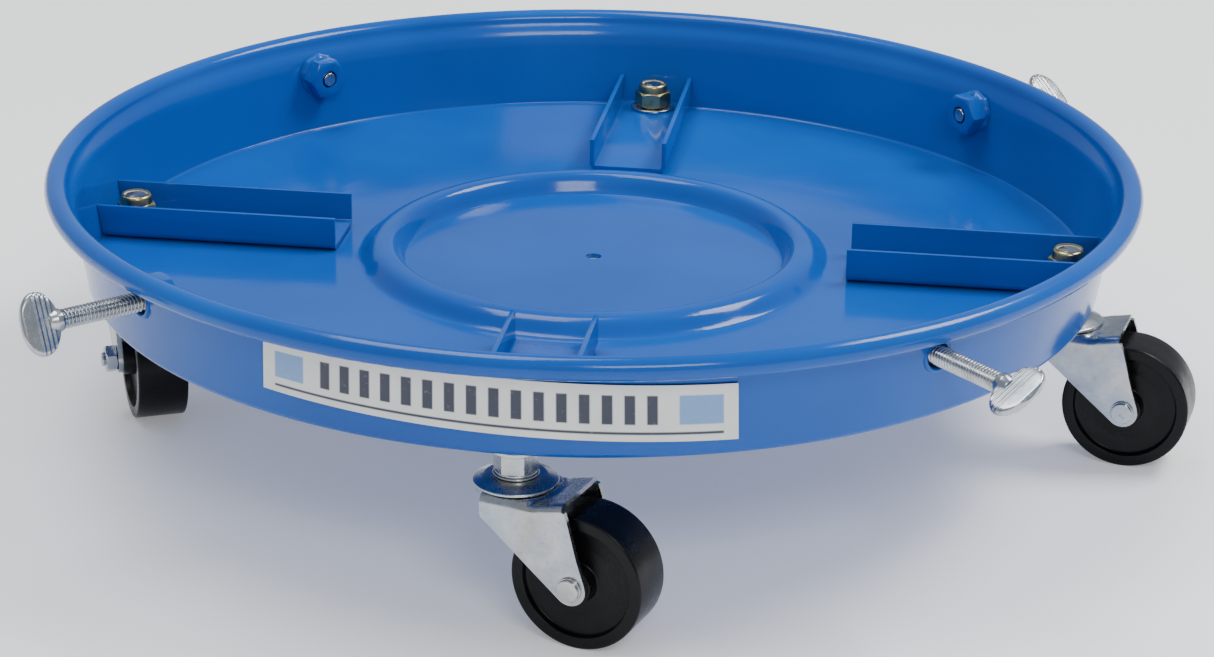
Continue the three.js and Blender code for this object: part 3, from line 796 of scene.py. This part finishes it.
CHANNEL_FLOOR_Z = FLOOR_Z + GAP + CHANNEL_SHEET
WASHER_R, TOP_WASHER, UNDER_WASHER = 10.0, 1.2, 1.6
STEM_HEX_Z, STEM_TOP_Z, STEM_THREAD_DEPTH, STEM_PITCH = 60.2, 86, 0.6, 1.5875
LOCK_NUT_HEX = 7


def build_stem(side):
    place = side_place(side)
    base = CHANNEL_FLOOR_Z
    shaft = fillet([
        (0, 50.6, 0), (4.6, 50.6, 0.8), (6.3, 51.6, 0.5),
        (6.3, 52.6, 0.2), (4.2, 52.6, 0), (4.2, 58.9, 0),
        (8.4, 58.9, 0.3), (8.4, 59.7, 0.3), (7.6, 60.0, 0), (7.6, 60.6, 0.25), (STEM_R, 60.8, 0),
        (STEM_R, base, 0), (0, base, 0),
    ])
    post = lathe(f"stem_post_{side}", shaft, ZINC, place, segments=64)
    hex_top = FLOOR_Z - SHEET - UNDER_WASHER - 2 * FASTENER_GAP
    hexagon = hex_blank(f"stem_hex_{side}", CASTER_FLATS, STEM_HEX_Z, hex_top, ZINC, place)
    screw = thread(
        f"stem_thread_{side}", STEM_R, STEM_THREAD_DEPTH, STEM_PITCH, base - 0.2, STEM_TOP_Z, place)
    put(join(post, hexagon, screw), "root", "zinc", f"stem_{side}")


def build_washer(name, node, low, high, place):
    inner = STEM_R + 0.2
    section = [(inner, low, 0.15), (WASHER_R, low, 0.3), (WASHER_R, high, 0.3), (inner, high, 0.15)]
    put(lathe(name, fillet(section), ZINC, place, segments=64), "root", "zinc", node)


def build_fasteners(side):
    """Washers over and under the floor, and a lock nut: a hexagon, a curled-in collar and its insert."""
    place = side_place(side)
    low = CHANNEL_FLOOR_Z + FASTENER_GAP
    build_washer(f"washer_top_{side}", f"top_washer_{side}", low, low + TOP_WASHER, place)
    under = FLOOR_Z - SHEET - FASTENER_GAP
    build_washer(f"washer_under_{side}", f"under_washer_{side}", under - UNDER_WASHER, under, place)
    foot = low + TOP_WASHER + FASTENER_GAP
    top, bore = foot + LOCK_NUT_HEX, STEM_R + 0.1
    nut = hex_blank(f"lock_nut_hex_{side}", CASTER_FLATS, foot, top, YELLOW, place, bore=bore)
    crown = fillet([
        (5.4, foot + 6, 0), (6.7, foot + 6, 0), (6.7, foot + 7.3, 0.5), (6.2, foot + 10.9, 1.3),
        (5.2, foot + 10.8, 0.3), (5.4, foot + 10.2, 0),
    ])
    dome = lathe(f"lock_nut_dome_{side}", crown, YELLOW, place, segments=64)
    put(join(nut, dome), "root", "yellow_zinc", f"lock_nut_{side}")
    inner, outer = STEM_R + 0.05, 5.38
    insert = [(inner, foot + 6), (outer, foot + 6), (outer, foot + 10.3), (inner, foot + 10.1)]
    put(lathe(f"nylon_insert_{side}", insert, NYLON, place, segments=48), "root", "yellow_zinc")


def build_cap(side):
    """The domed plate over the balls, thin and open underneath."""
    profile = fillet([
        (14.1, 55.9, 0.2), (15.5, 55.9, 0.35), (15.5, 56.9, 0.4),
        (14.2, 57.4, 1.0), (11.2, 58.7, 2.0), (4.3, 58.85, 0),
        (4.3, 57.8, 0), (10.6, 57.7, 1.0), (13.2, 56.6, 0.8),
    ])
    cap = lathe(f"swivel_cap_{side}", profile, ZINC, side_place(side), segments=96)
    put(cap, "root", "zinc", f"race_cap_{side}")


def caster_place(side):
    """Frame at the swivel axis, +X the way the caster trails, Z up from the ground."""
    axis = JOINTS[f"wheel_roll_{side}"]["axis"]
    heading = math.atan2(-axis[0], axis[1])
    return side_place(side) @ Matrix.Rotation(heading, 4, "Z")


BALLS, RACE_R, BALL_R, BALL_Z = 16, 8.4, 0.95, 56.25


def build_balls(side):
    place = caster_place(side)
    parts = []
    profile = arc(0, 0, BALL_R, -90, 90, 8)
    for k in range(BALLS):
        a = 2 * math.pi * k / BALLS
        centre = Vector((RACE_R * math.cos(a), RACE_R * math.sin(a), BALL_Z))
        spot = place @ Matrix.Translation(centre * MM)
        parts.append(lathe(f"ball_{side}_{k}", profile, ZINC, spot, segments=14))
    put(join(*parts), f"swivel_{side}", "zinc", f"ball_ring_{side}")


LEG_END_R, LEG_FRONT, CROWN_REAR, SHOULDER_Z = 6.2, -7.0, 25.0, 47.0
FORK_HALF, FORK_SHEET, FORK_BEND, CROWN_TOP, CROWN_R = 15.3, 2.0, 3.4, 55.0, 14.4
FORK_BORE_R = 4.35
# The crown rises to the rear by this much, from this far behind the swivel
CROWN_RISE, RISE_FROM = 2.4, 13.0
# The seat of the race: its height, its edge's radius, and the width and fall of that edge
SEAT_LIFT, SEAT_R, SEAT_EDGE, SEAT_FALL = 0.45, 16.0, 2.2, 0.95
# The rise fades out between these heights
RISE_LOW_Z, RISE_FADE = 38, 10


def tangent_point(x, z, turn):
    """Where a line from (x, z) touches the round end of the leg, on the side given by turn."""
    dx, dz = x - TRAIL, z - WHEEL_R
    distance = math.hypot(dx, dz)
    a = math.atan2(dz, dx) + turn * math.acos(LEG_END_R / distance)
    return TRAIL + LEG_END_R * math.cos(a), WHEEL_R + LEG_END_R * math.sin(a)


def leg_span(z):
    """First and last place along the trail that the leg reaches at a height."""
    reach = math.sqrt(max(0.0, LEG_END_R ** 2 - (z - WHEEL_R) ** 2))
    front_x, front_z = tangent_point(LEG_FRONT, SHOULDER_Z, 1)
    rear_x, rear_z = tangent_point(CROWN_REAR, CROWN_TOP, -1)
    if z >= SHOULDER_Z:
        start = LEG_FRONT
    elif z >= front_z:
        start = LEG_FRONT + (front_x - LEG_FRONT) * (SHOULDER_Z - z) / (SHOULDER_Z - front_z)
    else:
        start = TRAIL - reach
    if z >= rear_z:
        end = CROWN_REAR + (rear_x - CROWN_REAR) * (CROWN_TOP - z) / (CROWN_TOP - rear_z)
    else:
        end = TRAIL + reach
    return start, end


def fork_section():
    """Path over the bent sheet, from one leg's end to the other's: lateral place, height, normal."""
    path = []
    low = WHEEL_R - LEG_END_R
    end_steps, bend_steps, half_crown_steps = 14, 8, 12
    for i in range(end_steps + 1):
        path.append((FORK_HALF, low + LEG_END_R * (1 - math.cos(math.pi / 2 * i / end_steps)), (1, 0)))
    heights = [28, 31, 34, 37, 40, 42.5, 45, 46.5, 47.5, 48.5, 50]
    path += [(FORK_HALF, z, (1, 0)) for z in heights]
    for i in range(bend_steps + 1):
        a = math.pi / 2 * i / bend_steps
        y = FORK_HALF - FORK_BEND + FORK_BEND * math.cos(a)
        path.append((y, CROWN_TOP - FORK_BEND + FORK_BEND * math.sin(a), (math.cos(a), math.sin(a))))
    flat = FORK_HALF - FORK_BEND
    for i in range(1, half_crown_steps + 1):
        path.append((flat - flat * i / half_crown_steps, CROWN_TOP, (0, 1)))
    mirrored = [(-y, z, (-ny, nz)) for y, z, (ny, nz) in reversed(path[:-1])]
    return path + mirrored


def crown_lift(u, v):
    """The pressed seat of the ball race: raised near the swivel, falling away outside it."""
    t = max(0.0, min(1.0, (math.hypot(u, v) - SEAT_R) / SEAT_EDGE))
    return SEAT_LIFT - SEAT_FALL * t * t * (3 - 2 * t)


def rear_rise(u, z):
    """How far the sheet is bent up behind the swivel, fading out down the legs."""
    t = max(0.0, (u - RISE_FROM) / (CROWN_REAR - RISE_FROM))
    fade = max(0.0, min(1.0, (z - RISE_LOW_Z) / RISE_FADE))
    return CROWN_RISE * t * min(1.0, t * 4) * fade


def build_fork(side):
    """One bent sheet: both legs and the crown, as an outer and an inner face joined round the edge."""
    path = fork_section()
    across = 48
    outer, inner = [], []
    for y, z, (ny, nz) in path:
        start, end = leg_span(min(z, CROWN_TOP))
        if z > CROWN_TOP - FORK_BEND:
            start = min(LEG_FRONT, -math.sqrt(max(0.0, CROWN_R ** 2 - y * y)))
            end = CROWN_REAR
        for k in range(across + 1):
            u = start + (end - start) * k / across
            lift = crown_lift(u, y) * max(0.0, nz) ** 2 + rear_rise(u, z)
            outer.append((u, y, z + lift))
            inner.append((u, y - ny * FORK_SHEET, z + lift - nz * FORK_SHEET))
    step, total = across + 1, len(outer)
    faces = []
    for i in range(len(path) - 1):
        for k in range(across):
            a = i * step + k
            quad = [a, a + step, a + step + 1, a + 1]
            faces.append(quad[::-1])
            faces.append([v + total for v in quad])
        for k in (0, across):
            a, b = i * step + k, (i + 1) * step + k
            faces.append([a, b, b + total, a + total] if k == 0 else [b, a, a + total, b + total])
    fork = piece(f"fork_shell_{side}", outer + inner, faces, ZINC, caster_place(side))
    modify(fork, "WELD", merge_threshold=0.00001)
    drill(fork, FORK_BORE_R, 50, 58, side_place(side))
    put(fork, f"swivel_{side}", "zinc", f"fork_{side}")


def axle_place(side):
    """Frame at the axle with Z along it, pointing to the nut's end."""
    low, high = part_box(f"axle_bolt_{side}")
    nut_low, nut_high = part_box(f"axle_nut_{side}")
    along = Vector(JOINTS[f"wheel_roll_{side}"]["axis"]).normalized()
    if along.dot((nut_low + nut_high) / 2 - (low + high) / 2) < 0:
        along = -along
    side_way = along.cross(Vector((0, 0, 1)))
    axes = Matrix((Vector((0, 0, 1)), -side_way, along)).transposed().to_4x4()
    return Matrix.Translation(JOINTS[f"wheel_roll_{side}"]["pos_m"]) @ axes


AXLE_R, AXLE_NUT_FLATS, AXLE_NUT_HEIGHT = 3, 10, 4.6


def build_axle(side):
    place = axle_place(side)
    face = FORK_HALF + FASTENER_GAP
    profile = fillet([
        (0, -face - 2.0, 0), (4.25, -face - 2.0, 0.35), (4.25, -face - 0.75, 0), (4.7, -face - 0.75, 0.2),
        (4.7, -face, 0), (AXLE_R, -face, 0), (AXLE_R, face + 4.4, 0), (0, face + 4.4, 0),
    ])
    bolt = lathe(f"axle_rod_{side}", profile, ZINC, place, segments=56)
    thread_depth, pitch = 0.4, 1.0
    end = thread(f"axle_end_{side}", 2.98, thread_depth, pitch, face + 0.2, face + 6.0, place, lead=0.5)
    put(join(bolt, end), f"swivel_{side}", "zinc", f"axle_bolt_{side}")
    nut = hex_blank(f"axle_hex_{side}", AXLE_NUT_FLATS, face, face + AXLE_NUT_HEIGHT, ZINC, place, bore=2.9)
    put(nut, f"swivel_{side}", "zinc", f"axle_nut_{side}")


def build_wheel(side):
    half, web = WHEEL_HALF, WHEEL_HALF - 2.4
    face = [
        (3.1, HUB_HALF, 0.2), (6.9, HUB_HALF, 0.5), (7.4, web, 0.7), (14, web - 0.4, 4),
        (20.4, web, 0.8), (20.9, half, 0.35), (TREAD_R, half, 0.9), (TREAD_R, 3, 0), (TREAD_R, 0.25, 0),
    ]
    other = [(r, -z, fillet_r) for r, z, fillet_r in reversed(face)]
    profile = fillet([*face, *other], steps=5)[::-1]
    wheel = lathe(f"wheel_body_{side}", profile, BLACK, axle_place(side), segments=128)
    put(wheel, f"roller_{side}", "black_plastic", f"wheel_{side}")


# ---------------------------------------------------------------- stage and lights

LIGHT_TARGET = (0, 0, 0.08)
SKY_COLOUR, SKY_STRENGTH = (0.85, 0.92, 1.0, 1), 0.5


def build_stage():
    half_side = 6000.0
    points = [(x * half_side, y * half_side, 0) for x, y in ((-1, -1), (1, -1), (1, 1), (-1, 1))]
    floor = piece("studio_floor", points, [[0, 1, 2, 3]], floor_material())


def add_area(name, place, size, power):
    """A soft light in metres and watts, turned to the middle of the dolly."""
    data = bpy.data.lights.new(name, "AREA")
    data.shape = "RECTANGLE"
    data.size, data.size_y = size
    data.energy = power
    light = bpy.data.objects.new(name, data)
    direction = Vector(LIGHT_TARGET) - Vector(place)
    light.rotation_euler = direction.to_track_quat("-Z", "Y").to_euler()
    light.location = place
    bpy.context.scene.collection.objects.link(light)


def build_lights():
    world = bpy.data.worlds.new("studio")
    world.use_nodes = True
    background = world.node_tree.nodes["Background"]
    background.inputs["Color"].default_value = SKY_COLOUR
    background.inputs["Strength"].default_value = SKY_STRENGTH
    bpy.context.scene.world = world
    add_area("key", (1.1, 0.5, 1.7), (0.9, 0.7), 34)
    add_area("top", (-0.5, 0.1, 1.9), (1.2, 0.8), 22)
    add_area("front", (0.7, -1.9, 1.6), (0.9, 0.6), 18)


build_tray()
build_label()
for side in SIDES:
    build_channel(side)
    build_stem(side)
    build_fasteners(side)
    build_cap(side)
    build_balls(side)
    build_fork(side)
    build_axle(side)
    build_wheel(side)
for corner in CORNERS:
    build_weld_nut(corner)
    build_screw(corner)
build_stage()
build_lights()
